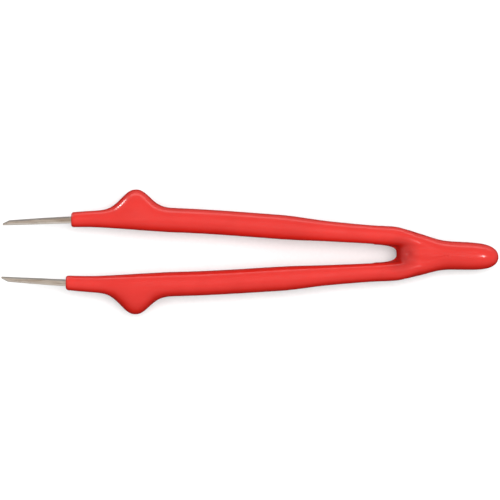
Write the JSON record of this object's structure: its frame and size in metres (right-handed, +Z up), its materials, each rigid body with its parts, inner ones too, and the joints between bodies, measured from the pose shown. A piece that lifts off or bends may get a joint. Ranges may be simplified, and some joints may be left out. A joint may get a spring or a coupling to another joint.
{
  "type": "insulated precision tweezers",
  "caption": "Insulated precision tweezers: two welded spring arms under one dipped skin, with finger guards and pointed bare tips.",
  "frame": {"origin": "under the middle of the bounding box, on the surface the tweezers lie on", "axes": "+X along the tweezers from the tips to the tail, +Y across the arms to the upper arm, +Z up through the depth of the arms"},
  "size_m": [0.15, 0.0377, 0.011],
  "materials": {
    "insulation": "gloss dipped",
    "stainless": "satin ground",
    "guard_core": "moulded",
    "weld": "as welded"
  },
  "bodies": {
    "heel": {"heel_coat": "insulation", "upper_blade_heel": "stainless", "lower_blade_heel": "stainless", "weld_nuggets": "weld"},
    "upper_arm": {"upper_blade": "stainless", "upper_guard_core": "guard_core", "upper_coat": "insulation"},
    "lower_arm": {"lower_blade": "stainless", "lower_guard_core": "guard_core", "lower_coat": "insulation"}
  },
  "joints": [
    {"name": "upper_arm_flex", "type": "hinge", "parent": "heel", "child": "upper_arm", "pos_m": [0.0356, 0.0058, 0.0055], "axis": [0, 0, 1], "range_deg": [0, 3.99], "stiffness_Nm_per_rad": 2.8},
    {"name": "lower_arm_flex", "type": "hinge", "parent": "heel", "child": "lower_arm", "pos_m": [0.0356, -0.0058, 0.0055], "axis": [0, 0, -1], "range_deg": [0, 3.97], "stiffness_Nm_per_rad": 2.8}
  ]
}
